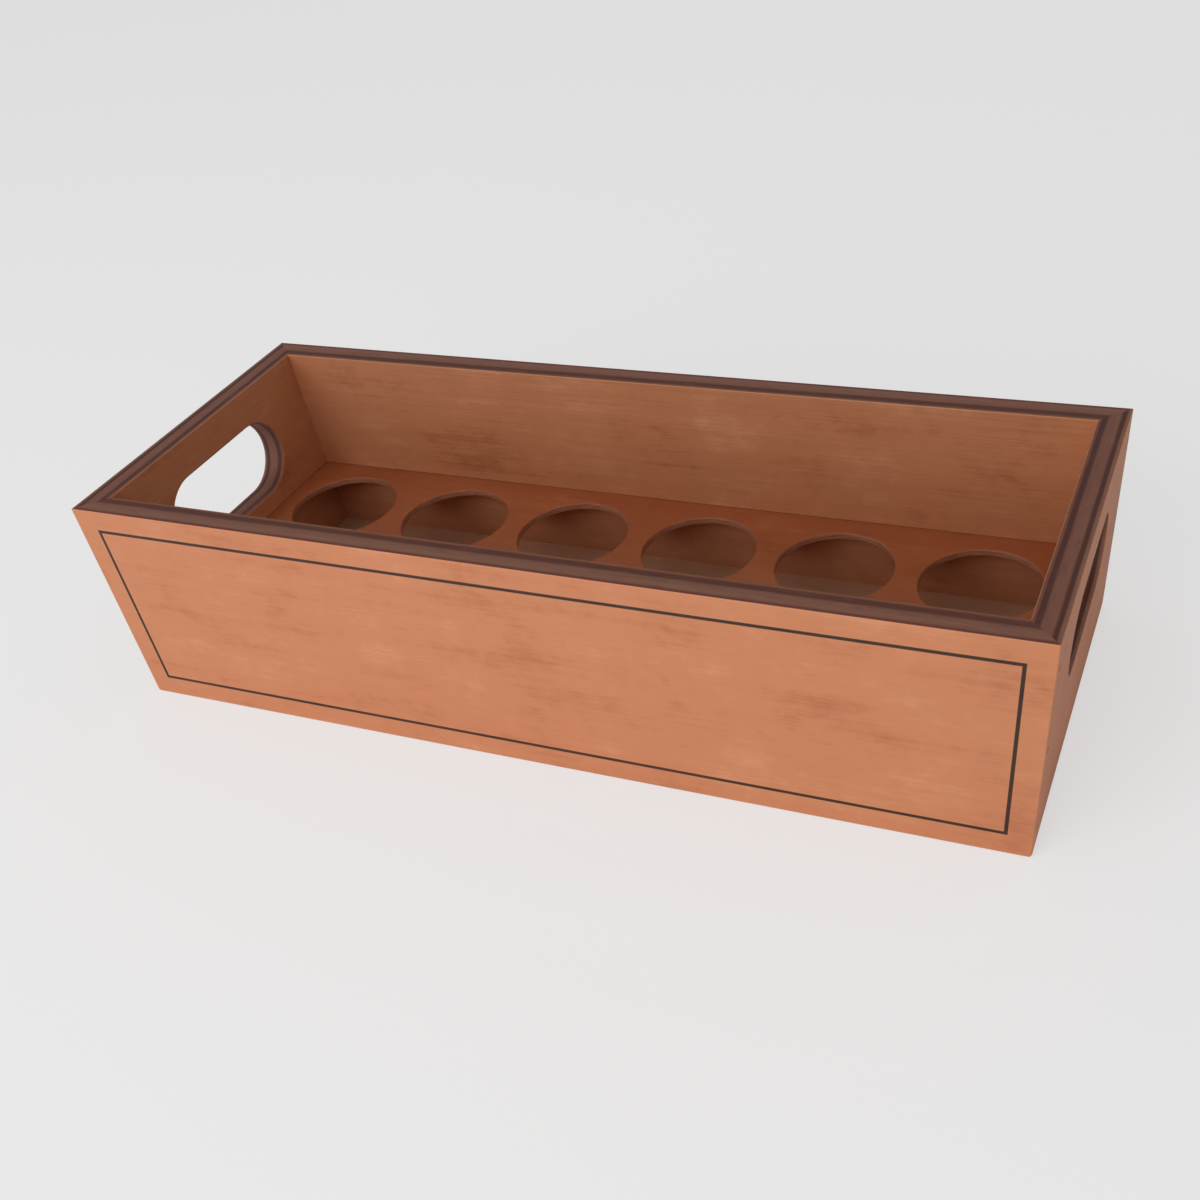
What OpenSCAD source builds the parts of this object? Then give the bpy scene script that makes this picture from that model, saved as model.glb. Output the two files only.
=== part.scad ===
// Wooden egg holder: an open plywood box whose two ends lean outwards, with mitred corners,
// a bottom board let in flush underneath and a drilled tray that holds a dozen hen's eggs.
// Units are millimetres. X runs along the box, the printed front faces -Y and Z is up.
// The origin is the middle of the face that the box stands on.

/* [Box] */
// Length over the two ends, measured along the rim
box_l = 330; // [322:1:360]
// Length over the two ends, measured along the base
base_l = 318.5; // [300:0.5:321]
// Width over the front and the back
box_w = 126; // [122:1:160]
// Height from the base to the rim
box_h = 78.5; // [72:0.5:110]
// Thickness of the plywood of the four walls
wall_t = 9.5; // [8:0.5:11]

/* [Bottom board] */
// Thickness of the bottom board
bottom_t = 3; // [2.4:0.2:5]
// Width of the rebate in each wall that the bottom board lies in
bottom_rebate = 4.5; // [4:0.25:5.5]

/* [Egg tray] */
// Thickness of the tray board
tray_t = 2.7; // [2.4:0.1:4]
// Height of the tray's top face above the base
tray_top = 30; // [24:0.5:34]
// Depth of the groove in each wall that the tray's edges sit in
tray_groove = 3; // [2:0.25:4]
// Diameter of an egg hole
egg_d = 41; // [34:0.5:43]
// Distance between the middles of two neighbouring egg holes
egg_pitch = 50; // [47:0.5:50.5]
// Egg holes along the tray
eggs_long = 6; // [4:1:6]
// Egg holes across the tray
eggs_wide = 2; // [1:1:2]

/* [Hand slots] */
// Length of a hand slot, over its round ends
slot_l = 64.5; // [50:0.5:80]
// Height of a hand slot
slot_h = 28.5; // [22:0.5:29]
// Height of the slot's middle above the base, measured up the end panel
slot_up = 50.6; // [49:0.2:54]

/* [Brads] */
// Diameter of a brad's shank
brad_d = 1.3; // [1:0.1:1.6]
// Diameter of a brad's head
brad_head_d = 2.2; // [1.9:0.1:2.6]
// Thickness of a brad's head
brad_head_t = 0.6; // [0.4:0.1:0.9]
// Depth of a brad's head below the surface of the wood
brad_sink = 0.2; // [0.1:0.1:0.6]
// Length of a corner brad, head included
corner_brad_l = 19; // [14:1:25]
// Length of a bottom brad, head included
bottom_brad_l = 14; // [10:1:18]
// Brads in one mitred corner
brads_in_corner = 3; // [2:1:4]
// Distance of the first corner brad from the base, and of the last from the rim
corner_brad_margin = 10; // [8:0.5:14]
// Bottom brads along the front and along the back
brads_along = 4; // [2:1:6]
// Bottom brads across each end
brads_across = 2; // [2:1:3]
// Distance of the outermost long-side brads from the ends of the bottom board
long_side_margin = 26; // [18:1:40]
// Distance of the outermost end brads from the sides of the bottom board
end_margin = 34; // [20:1:40]

/* [Clearances] */
// Play above the tray in its groove, and all round its edges
groove_gap = 0.2; // [0.1:0.05:0.4]
// Play all round the bottom board in its rebate
rebate_gap = 0.15; // [0.1:0.05:0.4]
// Play round a brad in its hole
brad_gap = 0.05; // [0.02:0.01:0.1]

/* [Hidden] */
$fn = 96;

stained_front = [0.80, 0.55, 0.39];
stained_inside = [0.60, 0.36, 0.22];
stained_tray = [0.68, 0.38, 0.22];
raw_board = [0.72, 0.56, 0.42];
brad_steel = [0.45, 0.42, 0.40];

// Lean of the end panels from upright, and what an end panel takes up along X
lean = atan((box_l - base_l) / 2 / box_h);
end_run = wall_t / cos(lean);

// Space between the walls: across the box, and along it at a height z
inside_w = box_w - 2 * wall_t;
function inside_l(z) = base_l + 2 * z * tan(lean) - 2 * end_run;

// The tray reaches into its groove all round, and the bottom board into its rebate
tray_low = tray_top - tray_t;
tray_l = inside_l(tray_low) + 2 * tray_groove - 2 * groove_gap;
tray_w = inside_w + 2 * tray_groove - 2 * groove_gap;
bottom_l = inside_l(0) + 2 * bottom_rebate - 2 * rebate_gap;
bottom_w = inside_w + 2 * bottom_rebate - 2 * rebate_gap;

// Cutters stand this far proud of the wood that they cut
proud = 1;
// A block larger than the box, which cuts a whole side away
past_all = 2 * (box_l + box_w + box_h);

// Corner brads lie midway between the outer face of a long wall and the bottom of its groove
corner_brad_in = (wall_t - tray_groove) / 2;
corner_brad_row = box_h / cos(lean) - 2 * corner_brad_margin;
// Bottom brads pass through the middle of the board's overlap with the wall
bottom_brad_in = bottom_rebate / 2;

// Places its children in the frame of the right end panel: X out of the panel's outer face,
// Z up along the panel, with the origin at the foot of that face
module on_right_end() {
    translate([base_l / 2, 0, 0]) rotate([0, lean, 0]) children();
}

// Everything outside the mitre plane of the right front corner, as seen from the front panel
module beyond_mitre() {
    on_right_end() translate([0, -box_w / 2, 0]) rotate([0, 0, 45])
        translate([0, -past_all / 2, -past_all / 2]) cube(past_all);
}

// The other side of the same mitre plane, as seen from the end panel
module before_mitre() {
    on_right_end() translate([0, -box_w / 2, 0]) rotate([0, 0, 45])
        translate([-past_all, -past_all / 2, -past_all / 2]) cube(past_all);
}

// Groove for the tray, cut as one block through all four walls
module tray_room() {
    room_l = tray_l + 2 * groove_gap;
    room_w = tray_w + 2 * groove_gap;
    translate([-room_l / 2, -room_w / 2, tray_low]) cube([room_l, room_w, tray_t + groove_gap]);
}

// Rebate for the bottom board, cut as one block through the foot of all four walls
module bottom_room() {
    room_l = bottom_l + 2 * rebate_gap;
    room_w = bottom_w + 2 * rebate_gap;
    translate([-room_l / 2, -room_w / 2, -proud]) cube([room_l, room_w, bottom_t + proud]);
}

// A brad whose head lies at the origin's depth, driven along -Z; extra widens it into its hole
module brad(long, extra = 0) {
    mouth = extra > 0 ? brad_sink + proud : 0;
    translate([0, 0, -brad_sink - brad_head_t])
        cylinder(d = brad_head_d + 2 * extra, h = brad_head_t + mouth);
    translate([0, 0, -brad_sink - long - extra])
        cylinder(d = brad_d + 2 * extra, h = long - brad_head_t + 2 * extra);
}

// The corner brads of the right end: through the end panel, across the mitre, into the long walls
module right_corner_brads(extra = 0) {
    step = corner_brad_row / (brads_in_corner - 1);
    for (side = [-1, 1], i = [0 : brads_in_corner - 1])
        on_right_end()
            translate([0, side * (box_w / 2 - corner_brad_in), corner_brad_margin + i * step])
                rotate([0, 90, 0]) brad(corner_brad_l, extra);
}

module all_corner_brads(extra = 0) {
    right_corner_brads(extra);
    mirror([1, 0, 0]) right_corner_brads(extra);
}

// Bottom brads: driven up through the bottom board, straight into the front and the back,
// and along the lean of the two end panels
module all_bottom_brads(extra = 0) {
    row_l = bottom_l - 2 * long_side_margin;
    row_w = bottom_w - 2 * end_margin;
    for (side = [-1, 1], i = [0 : brads_along - 1])
        translate([-row_l / 2 + i * row_l / (brads_along - 1),
                   side * (inside_w / 2 + bottom_brad_in), 0])
            rotate([180, 0, 0]) brad(bottom_brad_l, extra);
    for (end = [0, 1], i = [0 : brads_across - 1])
        mirror([end, 0, 0])
            translate([inside_l(0) / 2 + bottom_brad_in, -row_w / 2 + i * row_w / (brads_across - 1), 0])
                rotate([0, lean, 0]) rotate([180, 0, 0]) brad(bottom_brad_l, extra);
}

// A long wall: an upright board whose mitred ends, cut along the lean of the end panels, leave a
// trapezium
module long_wall() {
    difference() {
        translate([-box_l / 2 - wall_t, -box_w / 2, 0]) cube([box_l + 2 * wall_t, wall_t, box_h]);
        beyond_mitre();
        mirror([1, 0, 0]) beyond_mitre();
        tray_room();
        bottom_room();
        all_corner_brads(brad_gap);
        all_bottom_brads(brad_gap);
    }
}

// Hand slot: straight top and bottom with half-round ends, routed square to the panel
module hand_slot() {
    reach = slot_l / 2 - slot_h / 2;
    on_right_end() translate([-wall_t - proud, 0, slot_up]) rotate([0, 90, 0]) {
        for (side = [-1, 1])
            translate([0, side * reach, 0]) cylinder(d = slot_h, h = wall_t + 2 * proud);
        translate([-slot_h / 2, -reach, 0]) cube([slot_h, 2 * reach, wall_t + 2 * proud]);
    }
}

// The right end: a leaning board between level top and bottom edges, mitred at both sides
module right_end() {
    difference() {
        intersection() {
            on_right_end() translate([-wall_t, -box_w / 2, -past_all / 2])
                cube([wall_t, box_w, past_all]);
            translate([0, -box_w, 0]) cube([past_all, 2 * box_w, box_h]);
        }
        before_mitre();
        mirror([0, 1, 0]) before_mitre();
        hand_slot();
        tray_room();
        bottom_room();
        all_corner_brads(brad_gap);
        all_bottom_brads(brad_gap);
    }
}

module front_panel() {
    color(stained_front) long_wall();
}

module back_panel() {
    color(stained_inside) mirror([0, 1, 0]) long_wall();
}

module right_end_panel() {
    color(stained_inside) right_end();
}

module left_end_panel() {
    color(stained_inside) mirror([1, 0, 0]) right_end();
}

module bottom_board() {
    color(raw_board) difference() {
        translate([-bottom_l / 2, -bottom_w / 2, 0]) cube([bottom_l, bottom_w, bottom_t]);
        all_bottom_brads(brad_gap);
    }
}

// The tray: one thin board with two rows of plain round holes, centred in the box
module egg_tray() {
    color(stained_tray) difference() {
        translate([-tray_l / 2, -tray_w / 2, tray_low]) cube([tray_l, tray_w, tray_t]);
        for (i = [0 : eggs_long - 1], j = [0 : eggs_wide - 1])
            translate([(i - (eggs_long - 1) / 2) * egg_pitch,
                       (j - (eggs_wide - 1) / 2) * egg_pitch, tray_low - proud])
                cylinder(d = egg_d, h = tray_t + 2 * proud);
    }
}

module right_end_brads() {
    color(brad_steel) right_corner_brads();
}

module left_end_brads() {
    color(brad_steel) mirror([1, 0, 0]) right_corner_brads();
}

module bottom_brads() {
    color(brad_steel) all_bottom_brads();
}

front_panel();
back_panel();
left_end_panel();
right_end_panel();
bottom_board();
egg_tray();
left_end_brads();
right_end_brads();
bottom_brads();
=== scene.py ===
from math import atan, cos, pi, sin, sqrt, tan

import bmesh
import bpy
from mathutils import Matrix, Quaternion, Vector


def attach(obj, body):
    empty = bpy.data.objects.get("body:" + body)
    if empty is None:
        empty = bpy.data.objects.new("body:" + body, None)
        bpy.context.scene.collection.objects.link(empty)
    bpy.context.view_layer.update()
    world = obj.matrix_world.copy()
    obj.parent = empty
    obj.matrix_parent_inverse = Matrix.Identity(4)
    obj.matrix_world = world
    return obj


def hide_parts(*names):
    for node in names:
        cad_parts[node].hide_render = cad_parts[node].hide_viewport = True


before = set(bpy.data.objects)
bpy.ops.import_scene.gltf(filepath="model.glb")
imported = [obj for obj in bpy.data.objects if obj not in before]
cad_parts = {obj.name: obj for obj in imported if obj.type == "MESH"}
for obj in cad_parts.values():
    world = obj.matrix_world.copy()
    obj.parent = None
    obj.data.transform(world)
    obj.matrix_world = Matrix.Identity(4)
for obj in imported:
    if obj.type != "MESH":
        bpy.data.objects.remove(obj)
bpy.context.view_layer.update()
MM = 0.001

# The front and back boards: upright trapeziums of 9.5 mm five-layer plywood, sawn to the lean of
# the ends and mitred at 45 degrees. A groove holds the tray and a rebate the bottom board. Both
# are stained orange-brown, and the front carries a thin black border line, printed on the stain.
RIM_LENGTH, BASE_LENGTH, WIDTH, HEIGHT, WALL = 330, 318.5, 126, 78.5, 9.5
TRAY_TOP, TRAY_THICK, GROOVE = 30, 2.7, 3
BOTTOM_THICK, REBATE = 3, 4.5
PLAY = 0.2
LEAN = atan((RIM_LENGTH - BASE_LENGTH) / 2 / HEIGHT)
END_FACE = Vector((cos(LEAN), 0, -sin(LEAN)))
MITRE = (END_FACE + Vector((0, 1, 0))).normalized()
UP, DOWN = Vector((0, 0, 1)), Vector((0, 0, -1))
FRONT, INWARD = Vector((0, -1, 0)), Vector((0, 1, 0))
EASED, CORNER_EASED, FOOT_EASED = 0.4, 0.5, 1.8
SMALL_FACE = 12e-6
PROUD = 1


def inside_length(height):
    """Length between the two ends' inner faces at a height above the base."""
    return BASE_LENGTH + 2 * height * tan(LEAN) - 2 * WALL / cos(LEAN)


def sawn(name, low, high, cuts=()):
    """A block of wood with all that lies beyond the given planes sawn off."""
    wood = bmesh.new()
    bmesh.ops.create_cube(wood, size=1)
    for corner in wood.verts:
        corner.co = [low[i] if side < 0 else high[i] for i, side in enumerate(corner.co)]
    for point, outward in cuts:
        bmesh.ops.bisect_plane(
            wood, geom=wood.verts[:] + wood.edges[:] + wood.faces[:], dist=1e-4,
            plane_co=point, plane_no=outward, clear_outer=True)
        bmesh.ops.holes_fill(wood, edges=[e for e in wood.edges if e.is_boundary], sides=0)
    bmesh.ops.recalc_face_normals(wood, faces=wood.faces[:])
    bmesh.ops.scale(wood, vec=(MM, MM, MM), verts=wood.verts[:])
    return placed(name, wood)


def placed(name, shape):
    """Puts a finished bmesh in the scene. Narrow faces are shaded round, broad ones flat."""
    for face in shape.faces:
        face.smooth = face.calc_area() < SMALL_FACE
    mesh = bpy.data.meshes.new(name)
    shape.to_mesh(mesh)
    shape.free()
    piece = bpy.data.objects.new(name, mesh)
    bpy.context.scene.collection.objects.link(piece)
    return piece


def eased(point, first, second, radius, strips=3):
    """Planes that take the sharpness off the edge between two faces, given their normals."""
    centre = Vector(point) - (first + second) * radius / (1 + first.dot(second))
    turn = first.rotation_difference(second)
    normals = [Quaternion().slerp(turn, k / (strips + 1)) @ first for k in range(1, strips + 1)]
    return [(centre + normal * radius, normal) for normal in normals]


def cut(board, cutter, keep=False):
    """Takes one closed shape out of a board. The cutter is thrown away unless it has more to cut."""
    change = board.modifiers.new("cut", "BOOLEAN")
    change.object, change.operation, change.solver = cutter, "DIFFERENCE", "EXACT"
    depsgraph = bpy.context.evaluated_depsgraph_get()
    mesh = bpy.data.meshes.new_from_object(board.evaluated_get(depsgraph))
    board.modifiers.clear()
    board.data = mesh
    mesh.name = board.name
    if not keep:
        bpy.data.objects.remove(cutter)


def cut_rooms(board):
    """The groove for the tray and the rebate for the bottom board, cut as one block each."""
    groove_low = TRAY_TOP - TRAY_THICK
    tray_l = inside_length(groove_low) / 2 + GROOVE
    tray_w = WIDTH / 2 - WALL + GROOVE
    cut(board, sawn("groove", (-tray_l, -tray_w, groove_low), (tray_l, tray_w, TRAY_TOP + PLAY)))
    foot_l = inside_length(0) / 2 + REBATE
    foot_w = WIDTH / 2 - WALL + REBATE
    cut(board, sawn("rebate", (-foot_l, -foot_w, -PROUD), (foot_l, foot_w, BOTTOM_THICK)))


def long_board(name):
    """A long wall, made as the front one and turned half round for the back."""
    outer, inner = -WIDTH / 2, -WIDTH / 2 + WALL
    mirrored = Matrix.Diagonal((-1, 1, 1))
    end_cuts = [((BASE_LENGTH / 2, outer, 0), MITRE)]
    end_cuts += eased((BASE_LENGTH / 2, outer, 0), FRONT, END_FACE, CORNER_EASED)[:2]
    end_cuts += eased((BASE_LENGTH / 2, outer, 0), END_FACE, DOWN, FOOT_EASED, 5)
    end_cuts += [(mirrored @ Vector(point), mirrored @ normal) for point, normal in end_cuts]
    edges = eased((0, outer, HEIGHT), FRONT, UP, EASED) + eased((0, inner, HEIGHT), INWARD, UP, EASED)
    edges += eased((0, outer, 0), FRONT, DOWN, EASED)
    board = sawn(name, (-RIM_LENGTH, outer, 0), (RIM_LENGTH, inner, HEIGHT), end_cuts + edges)
    cut_rooms(board)
    if name == "back_board":
        board.data.transform(Matrix.Rotation(pi, 4, "Z"))
    return board


def stain(red, green, blue):
    """A colour named by its 0 to 255 screen values, as the shader's linear numbers."""
    return tuple(((c / 255 + 0.055) / 1.055) ** 2.4 for c in (red, green, blue)) + (1,)


class Wire:
    """One output in a node tree. Arithmetic on wires and numbers adds Math nodes."""

    def __init__(self, tree, output):
        self.tree, self.output = tree, output

    def node(self, kind, settings=None, values=None, output=0):
        """Adds any node: its type, its settings with a ramp's stops, then its sockets' values."""
        made = self.tree.nodes.new(kind)
        for name, value in (settings or {}).items():
            if name == "stops":
                ramp = made.color_ramp
                while len(ramp.elements) < len(value):
                    ramp.elements.new(0.5)
                for element, (position, colour) in zip(ramp.elements, value):
                    element.position, element.color = position, colour
            else:
                setattr(made, name, value)
        for socket, value in (values or {}).items():
            if isinstance(value, Wire):
                self.tree.links.new(value.output, made.inputs[socket])
            else:
                made.inputs[socket].default_value = value
        return Wire(self.tree, made.outputs[output] if made.outputs else None)

    def math(self, operation, *values, clamp=False):
        settings = {"operation": operation, "use_clamp": clamp}
        return self.node("ShaderNodeMath", settings, dict(enumerate(values)))

    def __add__(self, other):
        return self.math("ADD", self, other)

    def __sub__(self, other):
        return self.math("SUBTRACT", self, other)

    def __rsub__(self, other):
        return self.math("SUBTRACT", other, self)

    def __mul__(self, other):
        return self.math("MULTIPLY", self, other)

    def __truediv__(self, other):
        return self.math("DIVIDE", self, other)

    __radd__, __rmul__ = __add__, __mul__

    def least(self, other):
        return self.math("MINIMUM", self, other)

    def rise(self, start, end):
        """0 below start, 1 above end, smooth between."""
        return self.node("ShaderNodeMapRange", {"interpolation_type": "SMOOTHSTEP"},
                         {"Value": self, "From Min": start, "From Max": end})

    def blend(self, low, high, mode="MIX"):
        """Between two colours, with this wire as the share of the second."""
        return self.node("ShaderNodeMix", {"data_type": "RGBA", "blend_type": mode, "clamp_factor": True},
                         {0: self, 6: low, 7: high}, 2)

    def noise(self, x, y, z, detail=2, roughness=0.5):
        """Smooth noise, about -1 to 1, at a point given by three wires."""
        point = self.node("ShaderNodeCombineXYZ", {}, {"X": x, "Y": y, "Z": z})
        return self.node("ShaderNodeTexNoise", {}, {
            "Vector": point, "Scale": 1, "Detail": detail, "Roughness": roughness}) * 4 - 2


def fresh(name):
    """An empty material, and the object's own coordinates in millimetres."""
    material = bpy.data.materials.new(name)
    material.use_nodes = True
    tree = material.node_tree
    tree.nodes.clear()
    start = Wire(tree, None)
    place = start.node("ShaderNodeTexCoord", {}, {}, "Object")
    x, y, z = [place.node("ShaderNodeSeparateXYZ", {}, {"Vector": place}, i) / MM for i in range(3)]
    return material, x, y, z


def finished(colour, roughness, height, depth, specular=0.5):
    """The surface: its colour, its sheen and its relief in millimetres."""
    relief = colour.node("ShaderNodeBump", {}, {"Height": height, "Distance": depth * MM, "Strength": 1})
    surface = colour.node("ShaderNodeBsdfPrincipled", {}, {
        "Base Color": colour, "Roughness": roughness, "Normal": relief, "Specular IOR Level": specular})
    colour.node("ShaderNodeOutputMaterial", {}, {"Surface": surface})


def stained_face(along, across, seed, tones):
    """Stained veneer: cloudy stain, fine mottling, long fibres and short dark pores."""
    dark, middle, light = tones
    clouds = along.noise(along / 34 + seed, across / 24, seed, 3, 0.55)
    mottling = along.noise(along / 5, across / 3.5 + seed, seed, 2, 0.6)
    fibres = along.noise(along / 42, across / 0.9, seed, 3, 0.6)
    bands = along.noise(along / 160, across / 7 + seed, seed, 2, 0.5)
    pores = along.noise(along / 9 + seed, across / 0.55, seed, 1, 0.5).rise(0.75, 1.25)
    pore_patches = along.noise(along / 40, across / 16, seed + 7, 1, 0.5).rise(-0.1, 0.6)
    tone = 0.5 + clouds * 0.26 + mottling * 0.1 + fibres * 0.11 + bands * 0.12
    colour = tone.rise(0, 0.5).blend(dark, middle)
    colour = tone.rise(0.5, 1).blend(colour, light)
    lines = pores * pore_patches
    colour = (lines * 0.3).blend(colour, dark, "MULTIPLY")
    return colour, fibres * 0.4 + mottling * 0.25 - lines * 0.5


def ply_edge(along, across, deep, seed, stops):
    """The cut edge of plywood: five layers across its thickness, the crossways ones end-grained."""
    wander = along.noise(along / 30, across / 30, seed, 2, 0.5) * 0.012
    layer = deep / WALL + wander
    colour = layer.node("ShaderNodeValToRGB", {"stops": stops}, {"Fac": layer})
    streaks = along.noise(along / 26, deep / 0.45, seed + across / 26, 3, 0.6)
    blots = along.noise(along / 9, deep / 2.2, seed + across / 9, 2, 0.6)
    tone = 0.5 + streaks * 0.22 + blots * 0.2
    colour = (0.55 * tone.rise(0.55, 0)).blend(colour, stain(72, 30, 18))
    colour = (0.4 * tone.rise(0.5, 1.1)).blend(colour, stain(168, 118, 98))
    return colour, streaks * 0.5 + blots * 0.3


FACE_TONES = stain(188, 112, 72), stain(214, 138, 96), stain(228, 156, 114)
# The inner faces take a darker copy of the outer faces' tones: painted shade of the box's inside.
SHADED_INSIDE_TONES = stain(158, 92, 55), stain(190, 124, 84), stain(208, 144, 106)
LONG_EDGE = [(0, stain(112, 52, 38)), (0.1, stain(112, 52, 38)), (0.2, stain(140, 92, 72)),
             (0.56, stain(132, 84, 64)), (0.66, stain(92, 42, 24)), (0.84, stain(92, 42, 24)),
             (0.92, stain(134, 82, 54)), (1, stain(134, 82, 54))]


def wall_finish(name, read_place, seed, face_tones, shaded_back_tones, edge_stops, print_on=None):
    """A wall's finish: read_place turns X, Y, Z into along, up and depth from the outer face."""
    material, x, y, z = fresh(name)
    along, up, deep = read_place(x, y, z)
    outside, outside_relief = stained_face(along, up, seed, face_tones)
    # The inner face gets the darker tones, painted shade inside the box.
    shaded_inside, inside_relief = stained_face(along, up, seed + 3.7, shaded_back_tones)
    edge, edge_relief = ply_edge(along, up, deep, seed, edge_stops)
    if print_on:
        outside = print_on(outside, along, up)
    is_inner = deep.rise(WALL / 2 - 0.1, WALL / 2 + 0.1)
    is_edge = deep.rise(0.15, 0.32) * deep.rise(WALL - 0.15, WALL - 0.32)
    colour = is_edge.blend(is_inner.blend(outside, shaded_inside), edge)
    relief = outside_relief * (1 - is_inner) + inside_relief * is_inner
    relief = relief * (1 - is_edge) + edge_relief * is_edge
    finished(colour, 0.5 + is_edge * 0.12 + relief * 0.05, relief, 0.06)
    return material


LINE_TOP, LINE_FOOT, LINE_END_TOP, LINE_END_FOOT, LINE_WIDE = 70.5, 8.0, 155.9, 151.7, 1.15


def border_line(colour, along, up):
    """The printed line: an even trapezium frame that runs parallel to the board's edges."""
    side = along.math("ABSOLUTE", along)
    slope = (LINE_END_TOP - LINE_END_FOOT) / (LINE_TOP - LINE_FOOT)
    to_end = (LINE_END_FOOT + (up - LINE_FOOT) * slope - side) / sqrt(1 + slope * slope)
    inset = to_end.least(LINE_TOP - up).least(up - LINE_FOOT)
    ragged = along.noise(along / 0.6, up / 0.6, 3, 2, 0.6) * 0.05
    ink = inset.math("ABSOLUTE", inset).rise(LINE_WIDE / 2 + 0.1, LINE_WIDE / 2 - 0.1)
    ink = (ink + ragged * ink).math("MULTIPLY", ink, 1, clamp=True)
    thin = along.noise(along / 14, up / 14, 9, 2, 0.6)
    ink_colour = thin.rise(-1.2, 1.2).blend(stain(24, 15, 12), stain(52, 32, 22))
    return (ink * 0.96).blend(colour, ink_colour)


front = long_board("front_board")
front.data.materials.append(wall_finish(
    "front_stain", lambda x, y, z: (x, z, y + WIDTH / 2), 1.3,
    FACE_TONES, SHADED_INSIDE_TONES, LONG_EDGE, border_line))
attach(front, "root")
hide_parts("front_panel")

back = long_board("back_board")
back.data.materials.append(wall_finish(
    "back_stain", lambda x, y, z: (x, z, WIDTH / 2 - y), 8.6, FACE_TONES, SHADED_INSIDE_TONES, LONG_EDGE))
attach(back, "root")
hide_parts("back_panel")

# The two end boards: the same plywood, set leaning outwards between the long ones and glued to
# them along the mitres. Each has a routed hand slot with half-round ends and eased edges.
SLOT_LONG, SLOT_HIGH, SLOT_UP = 64.5, 28.5, 50.6
SLOT_EASED = 0.6
TURNS = 40


def slot_cutter():
    """The room of the right end's slot, flared at both faces of the board by the eased edge."""
    reach = SLOT_LONG / 2 - SLOT_HIGH / 2
    rings = [(PROUD, SLOT_EASED)]
    for k in range(5):
        angle = pi / 2 * k / 4
        rings.append((-SLOT_EASED * (1 - cos(angle)), SLOT_EASED * (1 - sin(angle))))
    rings += [(-WALL - depth, flare) for depth, flare in reversed(rings)]
    shape = bmesh.new()
    loops = []
    for out, flare in rings:
        loop = []
        for side in (1, -1):
            for k in range(TURNS + 1):
                angle = pi * k / TURNS - pi / 2
                radius = SLOT_HIGH / 2 + flare
                loop.append(shape.verts.new((out, side * (reach + radius * cos(angle)),
                                             SLOT_UP + side * radius * sin(angle))))
        loops.append(loop)
    for near, far in zip(loops, loops[1:]):
        for i in range(len(near)):
            j = (i + 1) % len(near)
            shape.faces.new((near[i], near[j], far[j], far[i]))
    shape.faces.new(loops[0])
    shape.faces.new(loops[-1])
    bmesh.ops.recalc_face_normals(shape, faces=shape.faces[:])
    bmesh.ops.transform(shape, verts=shape.verts[:], matrix=(
        Matrix.Scale(MM, 4) @ Matrix.Translation((BASE_LENGTH / 2, 0, 0)) @ Matrix.Rotation(LEAN, 4, "Y")))
    return placed("slot_room", shape)


def end_board(name):
    """An end wall, made as the right one and turned half round for the left."""
    foot = Vector((BASE_LENGTH / 2, 0, 0))
    inner_foot = foot - END_FACE * WALL
    corner = foot + FRONT * WIDTH / 2
    rim = foot + Vector((tan(LEAN), 0, 1)) * HEIGHT
    inner_rim = inner_foot + Vector((tan(LEAN), 0, 1)) * (HEIGHT - inner_foot.z)
    side_cuts = [(corner, -MITRE)] + eased(corner, FRONT, END_FACE, CORNER_EASED)[1:]
    flip = Matrix.Diagonal((1, -1, 1))
    side_cuts += [(flip @ point, flip @ normal) for point, normal in side_cuts]
    cuts = [(foot, END_FACE), (inner_foot, -END_FACE)] + side_cuts
    cuts += eased(foot, END_FACE, DOWN, FOOT_EASED, 5)
    cuts += eased(rim, END_FACE, UP, EASED) + eased(inner_rim, -END_FACE, UP, EASED)
    blank_inner = BASE_LENGTH / 2 - 4 * WALL
    board = sawn(name, (blank_inner, -WIDTH / 2, 0), (RIM_LENGTH, WIDTH / 2, HEIGHT), cuts)
    cut(board, slot_cutter())
    cut_rooms(board)
    if name == "left_end":
        board.data.transform(Matrix.Rotation(pi, 4, "Z"))
    return board


END_EDGE = [(0, stain(140, 92, 70)), (0.11, stain(140, 92, 70)), (0.17, stain(82, 34, 18)),
            (0.26, stain(82, 34, 18)), (0.34, stain(132, 82, 64)), (0.66, stain(128, 78, 60)),
            (0.74, stain(82, 32, 18)), (0.86, stain(82, 32, 18)), (0.92, stain(128, 76, 58)),
            (1, stain(128, 76, 58))]
for name, node, side, seed in [
        ("left_end", "left_end_panel", -1, 15.2), ("right_end", "right_end_panel", 1, 22.9)]:
    end = end_board(name)
    end.data.materials.append(wall_finish(
        name + "_stain", lambda x, y, z: (
            y, z * cos(LEAN) + (x * side - BASE_LENGTH / 2) * sin(LEAN),
            z * sin(LEAN) - (x * side - BASE_LENGTH / 2) * cos(LEAN)),
        seed, FACE_TONES, SHADED_INSIDE_TONES, END_EDGE))
    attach(end, "root")
    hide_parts(node)

# The egg tray: one thin plywood board, slid into the groove before the box is closed. Two rows of
# six holes, bored clean through with their edges sanded, hold a dozen hen's eggs.
HOLE, PITCH, COLUMNS, ROWS = 41, 50, 6, 2
HOLE_EASED = 0.5
ROUND = 96


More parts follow.
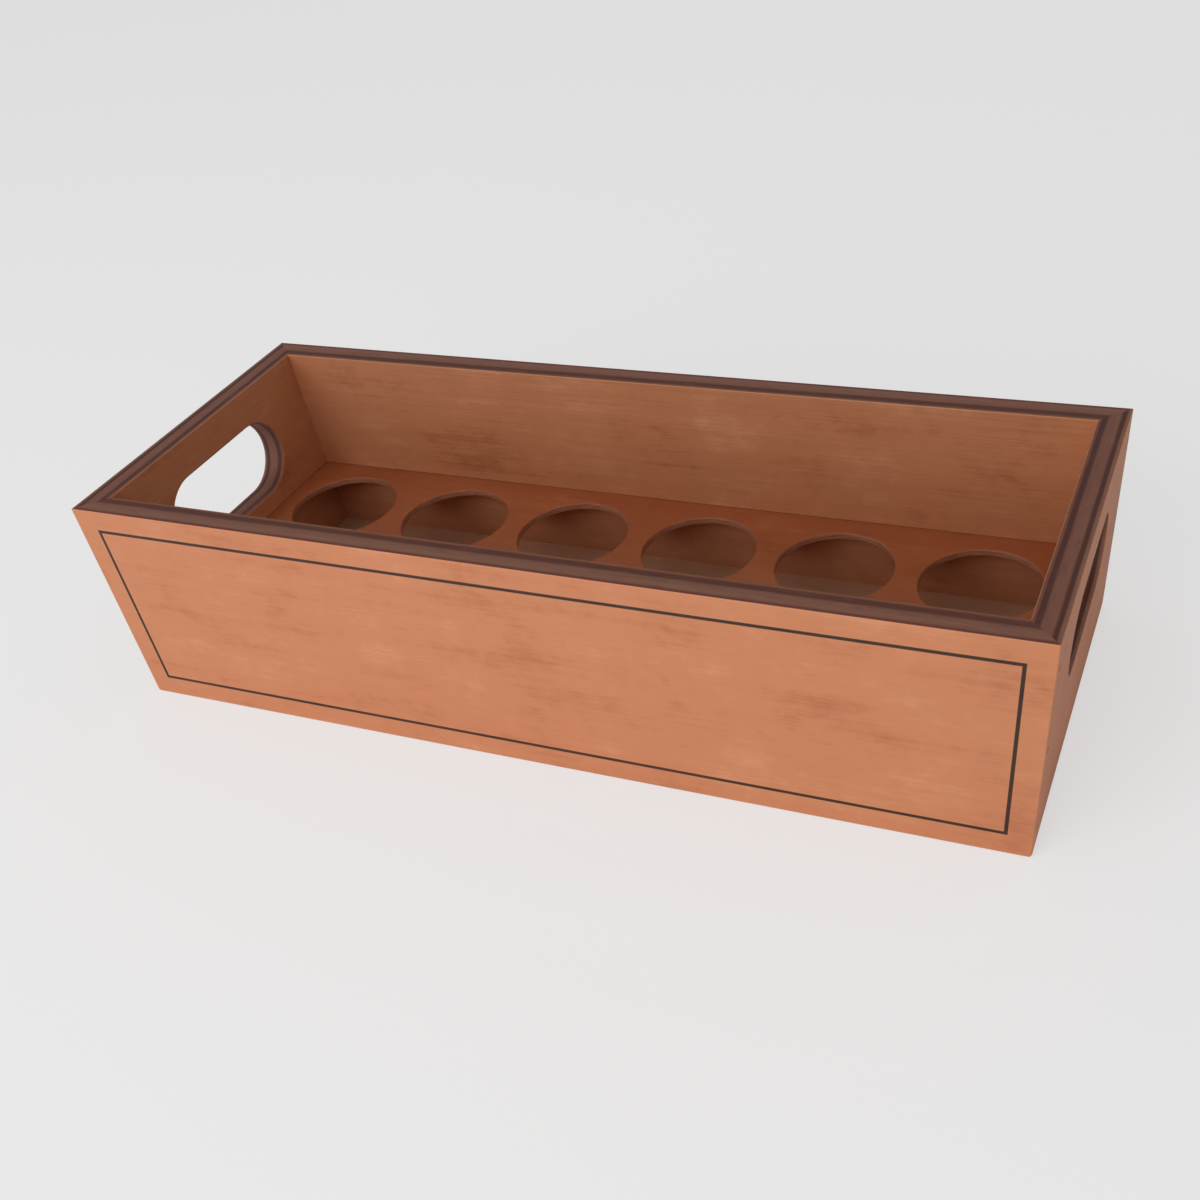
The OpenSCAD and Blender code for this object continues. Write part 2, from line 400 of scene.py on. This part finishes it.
def turned_rows(name, section, columns, rows, pitch_x, pitch_y, around, board=None):
    """Geometry Nodes: a half section (radius, height) is turned on its axis and set out in rows.
    With a board given, the turned shapes are bored out of it."""
    tree = bpy.data.node_groups.new(name + "_rows", "GeometryNodeTree")
    interface = tree.interface
    interface.new_socket("Section", in_out="INPUT", socket_type="NodeSocketGeometry")
    named = {}
    for label, kind, value in [
            ("Columns", "NodeSocketInt", columns), ("Rows", "NodeSocketInt", rows),
            ("Row Length", "NodeSocketFloat", (columns - 1) * pitch_x * MM),
            ("Row Spread", "NodeSocketFloat", (rows - 1) * pitch_y * MM),
            ("Sides", "NodeSocketInt", around), ("Board", "NodeSocketObject", board),
            ("Finish", "NodeSocketMaterial", None)]:
        named[label] = interface.new_socket(label, in_out="INPUT", socket_type=kind).identifier, value
    interface.new_socket("Rows Out", in_out="OUTPUT", socket_type="NodeSocketGeometry")
    start = Wire(tree, None)
    given = tree.nodes.new("NodeGroupInput")
    ask = {socket.name: Wire(tree, socket) for socket in given.outputs if socket.name}
    place = start.node("GeometryNodeInputPosition")
    radius = start.node("ShaderNodeSeparateXYZ", {}, {"Vector": place}, "X")
    height = start.node("ShaderNodeSeparateXYZ", {}, {"Vector": place}, "Z")
    path = start.node("GeometryNodeMeshToCurve", {}, {"Mesh": ask["Section"]})
    path = start.node("GeometryNodeSetCurveRadius", {}, {"Curve": path, "Radius": radius})
    axis = start.node("ShaderNodeCombineXYZ", {}, {"Z": height})
    path = start.node("GeometryNodeSetPosition", {}, {"Geometry": path, "Position": axis})
    circle = start.node("GeometryNodeCurvePrimitiveCircle", {}, {"Resolution": ask["Sides"], "Radius": 1.0})
    scale = start.node("GeometryNodeInputRadius")
    turned = start.node("GeometryNodeCurveToMesh", {}, {
        "Curve": path, "Profile Curve": circle, "Scale": scale, "Fill Caps": True})
    grid = start.node("GeometryNodeMeshGrid", {}, {
        "Size X": ask["Row Length"], "Size Y": ask["Row Spread"],
        "Vertices X": ask["Columns"], "Vertices Y": ask["Rows"]})
    shape = start.node("GeometryNodeInstanceOnPoints", {}, {"Points": grid, "Instance": turned})
    shape = start.node("GeometryNodeRealizeInstances", {}, {"Geometry": shape})
    if board:
        blank = start.node("GeometryNodeObjectInfo", {}, {"Object": ask["Board"]}, "Geometry")
        shape = start.node("GeometryNodeMeshBoolean", {"operation": "DIFFERENCE", "solver": "EXACT"},
                           {"Mesh 1": blank, "Mesh 2": shape})
        shape = start.node("GeometryNodeRealizeInstances", {}, {"Geometry": shape})
    shape = start.node("GeometryNodeSetMaterial", {}, {"Geometry": shape, "Material": ask["Finish"]})
    start.node("NodeGroupOutput", {}, {0: shape})

    mesh = bpy.data.meshes.new(name)
    points = [(r * MM, 0, h * MM) for r, h in section]
    mesh.from_pydata(points, [(i, i + 1) for i in range(len(section) - 1)], [])
    piece = bpy.data.objects.new(name, mesh)
    bpy.context.scene.collection.objects.link(piece)
    modifier = piece.modifiers.new("rows", "NODES")
    modifier.node_group = tree
    for identifier, value in named.values():
        if value is not None:
            modifier[identifier] = value
    depsgraph = bpy.context.evaluated_depsgraph_get()
    result = bpy.data.meshes.new_from_object(piece.evaluated_get(depsgraph))
    piece.modifiers.clear()
    piece.data = result
    result.name = name
    result.materials.clear()
    for face in result.polygons:
        face.use_smooth = face.area < SMALL_FACE
    return piece


half_thick = TRAY_THICK / 2
bore = []
for k in range(7):
    angle = pi / 2 * k / 6
    bore.append((HOLE / 2 + HOLE_EASED * (1 - sin(angle)), half_thick - HOLE_EASED * (1 - cos(angle))))
bore = [(HOLE / 2 + HOLE_EASED, half_thick + PROUD)] + bore
bore += [(radius, -height) for radius, height in reversed(bore)]
tray_low = TRAY_TOP - TRAY_THICK
tray_half = inside_length(tray_low) / 2 + GROOVE - PLAY, WIDTH / 2 - WALL + GROOVE - PLAY
tray_board = sawn(
    "tray_blank", (-tray_half[0], -tray_half[1], -half_thick), (tray_half[0], tray_half[1], half_thick))
tray = turned_rows("drilled_tray", bore, COLUMNS, ROWS, PITCH, PITCH, ROUND, tray_board)
bpy.data.objects.remove(tray_board)
tray.data.transform(Matrix.Translation((0, 0, (TRAY_TOP - half_thick) * MM)))

material, x, y, z = fresh("tray_stain")
TRAY_TONES = stain(140, 72, 38), stain(170, 94, 54), stain(186, 112, 70)
top, top_relief = stained_face(x, y, 31.4, TRAY_TONES)
cut_edge = x.noise(x / 6, y / 6, z / 0.5, 2, 0.6).rise(-1.2, 1.2)
cut_edge = cut_edge.blend(stain(150, 92, 66), stain(186, 128, 98))
is_cut = z.rise(TRAY_TOP - 0.12, TRAY_TOP - 0.35) * z.rise(tray_low + 0.12, tray_low + 0.35)
finished(is_cut.blend(top, cut_edge), 0.5 + top_relief * 0.05, top_relief, 0.05)
tray.data.materials.append(material)
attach(tray, "root")
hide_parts("egg_tray")

# The bottom board: 3 mm plywood let into the rebate under the four walls, flush with their feet.
# It is only thinly stained, so it shows paler than the walls through the egg holes.
REBATE_PLAY = 0.15
foot_half = inside_length(0) / 2 + REBATE - REBATE_PLAY, WIDTH / 2 - WALL + REBATE - REBATE_PLAY
bottom = sawn("bottom", (-foot_half[0], -foot_half[1], 0), (foot_half[0], foot_half[1], BOTTOM_THICK))
material, x, y, z = fresh("bottom_stain")
SHEET_TONES = stain(176, 122, 92), stain(200, 148, 116), stain(216, 170, 142)
sheet, sheet_relief = stained_face(x, y, 44.8, SHEET_TONES)
finished(sheet, 0.55 + sheet_relief * 0.05, sheet_relief, 0.05)
bottom.data.materials.append(material)
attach(bottom, "root")
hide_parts("bottom_board")

# The brads: thin headed steel nails, set a little below the surface. Three cross each mitre from
# the end boards, and twelve hold the bottom board up in its rebate.
BRAD, HEAD, HEAD_THICK, SINK = 1.3, 2.2, 0.6, 0.2
HEAD_ROUND, NECK, POINT_LONG, POINT, BRAD_GAP = 0.15, 0.1, 2, 0.05, 0.05
CORNER_LONG, CORNER_MARGIN, CORNER_COUNT = 19, 10, 3
FOOT_LONG, FOOT_ALONG, FOOT_ACROSS, SIDE_MARGIN, END_MARGIN = 14, 4, 2, 26, 34
DRIVEN_SIDES = 20


def brad_section(long):
    """Half section of a brad, from the middle of its head to its point."""
    under = -SINK - HEAD_THICK
    return [(POINT, -SINK), (HEAD / 2 - HEAD_ROUND - NECK, -SINK), (HEAD / 2, -SINK - HEAD_ROUND),
            (HEAD / 2, under + NECK), (BRAD / 2 + NECK, under), (BRAD / 2, under - HEAD_ROUND),
            (BRAD / 2, -SINK - long + POINT_LONG), (POINT, -SINK - long)]


def hole_section(long):
    """Half section of the hole that a brad has pressed for itself."""
    under = -SINK - HEAD_THICK
    head, shank = HEAD / 2 + BRAD_GAP, BRAD / 2 + BRAD_GAP
    return [(head, PROUD), (head, under), (shank, under), (shank, -SINK - long)]


def brads(name, section_of):
    """The four groups of brads, or of their holes, each in its place."""
    row = HEIGHT / cos(LEAN) - 2 * CORNER_MARGIN
    right = (Matrix.Translation((BASE_LENGTH / 2 * MM, 0, 0)) @ Matrix.Rotation(LEAN, 4, "Y")
             @ Matrix.Translation((0, 0, HEIGHT / cos(LEAN) / 2 * MM)) @ Matrix.Rotation(pi / 2, 4, "Y"))
    half_turn = Matrix.Rotation(pi, 4, "Z")
    spread = WIDTH - (WALL - GROOVE)
    corner = turned_rows(name + "_corner", section_of(CORNER_LONG), CORNER_COUNT, 2,
                         row / (CORNER_COUNT - 1), spread, DRIVEN_SIDES)
    upturned = Matrix.Rotation(pi, 4, "X")
    foot_x = 2 * foot_half[0] - 2 * SIDE_MARGIN
    foot_y = 2 * foot_half[1] - 2 * END_MARGIN
    sides = turned_rows(name + "_sides", section_of(FOOT_LONG), FOOT_ALONG, 2,
                        foot_x / (FOOT_ALONG - 1), WIDTH - 2 * WALL + REBATE, DRIVEN_SIDES)
    ends = turned_rows(name + "_ends", section_of(FOOT_LONG), 1, FOOT_ACROSS, 1, foot_y, DRIVEN_SIDES)
    reach = (inside_length(0) / 2 + REBATE / 2) * MM
    foot_right = Matrix.Translation((reach, 0, 0)) @ Matrix.Rotation(LEAN, 4, "Y") @ upturned
    groups = {
        "left_" + name: [(corner, half_turn @ right)],
        "right_" + name: [(corner, right)],
        "foot_" + name: [(sides, upturned), (ends, foot_right), (ends, half_turn @ foot_right)],
    }
    made = {}
    for group, parts in groups.items():
        shape = bmesh.new()
        for source, matrix in parts:
            mesh = source.data.copy()
            mesh.transform(matrix)
            shape.from_mesh(mesh)
        made[group] = placed(group, shape)
    for source in (corner, sides, ends):
        bpy.data.objects.remove(source)
    return made


left, right = bpy.data.objects["left_end"], bpy.data.objects["right_end"]
holed = {"left_holes": [front, back, left], "right_holes": [front, back, right],
         "foot_holes": [front, back, left, right, bottom]}
for group, holes in brads("holes", hole_section).items():
    for board in holed[group]:
        cut(board, holes, keep=True)
    bpy.data.objects.remove(holes)

material, x, y, z = fresh("brad_steel")
scuffs = x.noise(x / 0.5, y / 0.5, z / 0.5, 2, 0.6)
steel = scuffs.rise(-1.2, 1.2).blend(stain(92, 84, 78), stain(150, 142, 134))
surface = steel.node("ShaderNodeBsdfPrincipled", {}, {
    "Base Color": steel, "Metallic": 0.9, "Roughness": 0.45 + scuffs * 0.08})
steel.node("ShaderNodeOutputMaterial", {}, {"Surface": surface})
for group, piece in brads("brads", brad_section).items():
    piece.data.materials.append(material)
    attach(piece, "root")
    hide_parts({"left_brads": "left_end_brads", "right_brads": "right_end_brads",
                        "foot_brads": "bottom_brads"}[group])

# The studio: a plain white floor, a white room that fills the shadows, and one large soft lamp
# low in front. None of it belongs to the egg holder.
FLOOR_REACH, FLOOR_LOW, FLOOR_TOP, FLOOR_GLOW, AMBIENT = 3000, -12, -0.05, 0.55, 0.42
floor = sawn("floor", (-FLOOR_REACH, -FLOOR_REACH, FLOOR_LOW), (FLOOR_REACH, FLOOR_REACH, FLOOR_TOP))
material, x, y, z = fresh("floor_white")
start = Wire(material.node_tree, None)
paint = start.node("ShaderNodeBsdfDiffuse", {}, {"Color": (0.86, 0.86, 0.86, 1)})
glow = start.node("ShaderNodeEmission", {}, {"Color": (1, 1, 1, 1), "Strength": 1.0})
seen = start.node("ShaderNodeLightPath", {}, {}, "Is Camera Ray")
mixed = start.node("ShaderNodeMixShader", {}, {0: seen * FLOOR_GLOW, 1: paint, 2: glow})
start.node("ShaderNodeOutputMaterial", {}, {"Surface": mixed})
floor.data.materials.append(material)

world = bpy.data.worlds.new("studio")
world.use_nodes = True
world.node_tree.nodes.clear()
room = Wire(world.node_tree, None)
rays = room.node("ShaderNodeLightPath", {}, {}, "Is Camera Ray")
sky = room.node("ShaderNodeBackground", {}, {
    "Color": (1, 1, 1, 1), "Strength": AMBIENT + rays * (1 - AMBIENT)})
room.node("ShaderNodeOutputWorld", {}, {"Surface": sky})
bpy.context.scene.world = world

SOFTBOX_WIDE, SOFTBOX_HIGH, SOFTBOX_POWER = 1.4, 0.9, 9.0
SOFTBOX_PLACE, SOFTBOX_AIM = Vector((-0.35, -1.15, 0.62)), Vector((0, 0, 0.05))
lamp = bpy.data.lights.new("softbox", "AREA")
lamp.shape, lamp.energy = "RECTANGLE", SOFTBOX_POWER
lamp.size, lamp.size_y = SOFTBOX_WIDE, SOFTBOX_HIGH
softbox = bpy.data.objects.new("softbox", lamp)
bpy.context.scene.collection.objects.link(softbox)
softbox.location = SOFTBOX_PLACE
softbox.rotation_euler = (SOFTBOX_AIM - SOFTBOX_PLACE).to_track_quat("-Z", "Y").to_euler()

# The camera stands where the photograph was taken from: about half a metre away, to the right of
# the front, looking down and tilted a little.
AZIMUTH, ELEVATION, ROLL = 0.47541, 0.62256, -0.14943
STAND_BACK, STAND_RIGHT, STAND_UP = 525.16, 18.54, 13.9
FOCAL, FRAME_SIDE, CENTRE_X, CENTRE_Y = 1459.7, 1200, 670, 610
backward = Vector((sin(AZIMUTH) * cos(ELEVATION), -cos(AZIMUTH) * cos(ELEVATION), sin(ELEVATION)))
level = Vector((cos(AZIMUTH), sin(AZIMUTH), 0))
upright = backward.cross(level)
to_right = level * cos(ROLL) + upright * sin(ROLL)
to_top = upright * cos(ROLL) - level * sin(ROLL)
lens = bpy.data.cameras.new("camera")
lens.sensor_width = 36
lens.lens = FOCAL * lens.sensor_width / FRAME_SIDE
lens.shift_x = (FRAME_SIDE / 2 - CENTRE_X) / FRAME_SIDE
lens.shift_y = (CENTRE_Y - FRAME_SIDE / 2) / FRAME_SIDE
lens.clip_start, lens.clip_end = 0.01, 20
camera = bpy.data.objects.new("camera", lens)
bpy.context.scene.collection.objects.link(camera)
stand = (backward * STAND_BACK + to_right * STAND_RIGHT + to_top * STAND_UP) * MM
turn = Matrix((to_right, to_top, backward)).transposed().to_4x4()
camera.matrix_world = Matrix.Translation(stand) @ turn
bpy.context.scene.camera = camera
bpy.context.scene.view_settings.view_transform = "Standard"
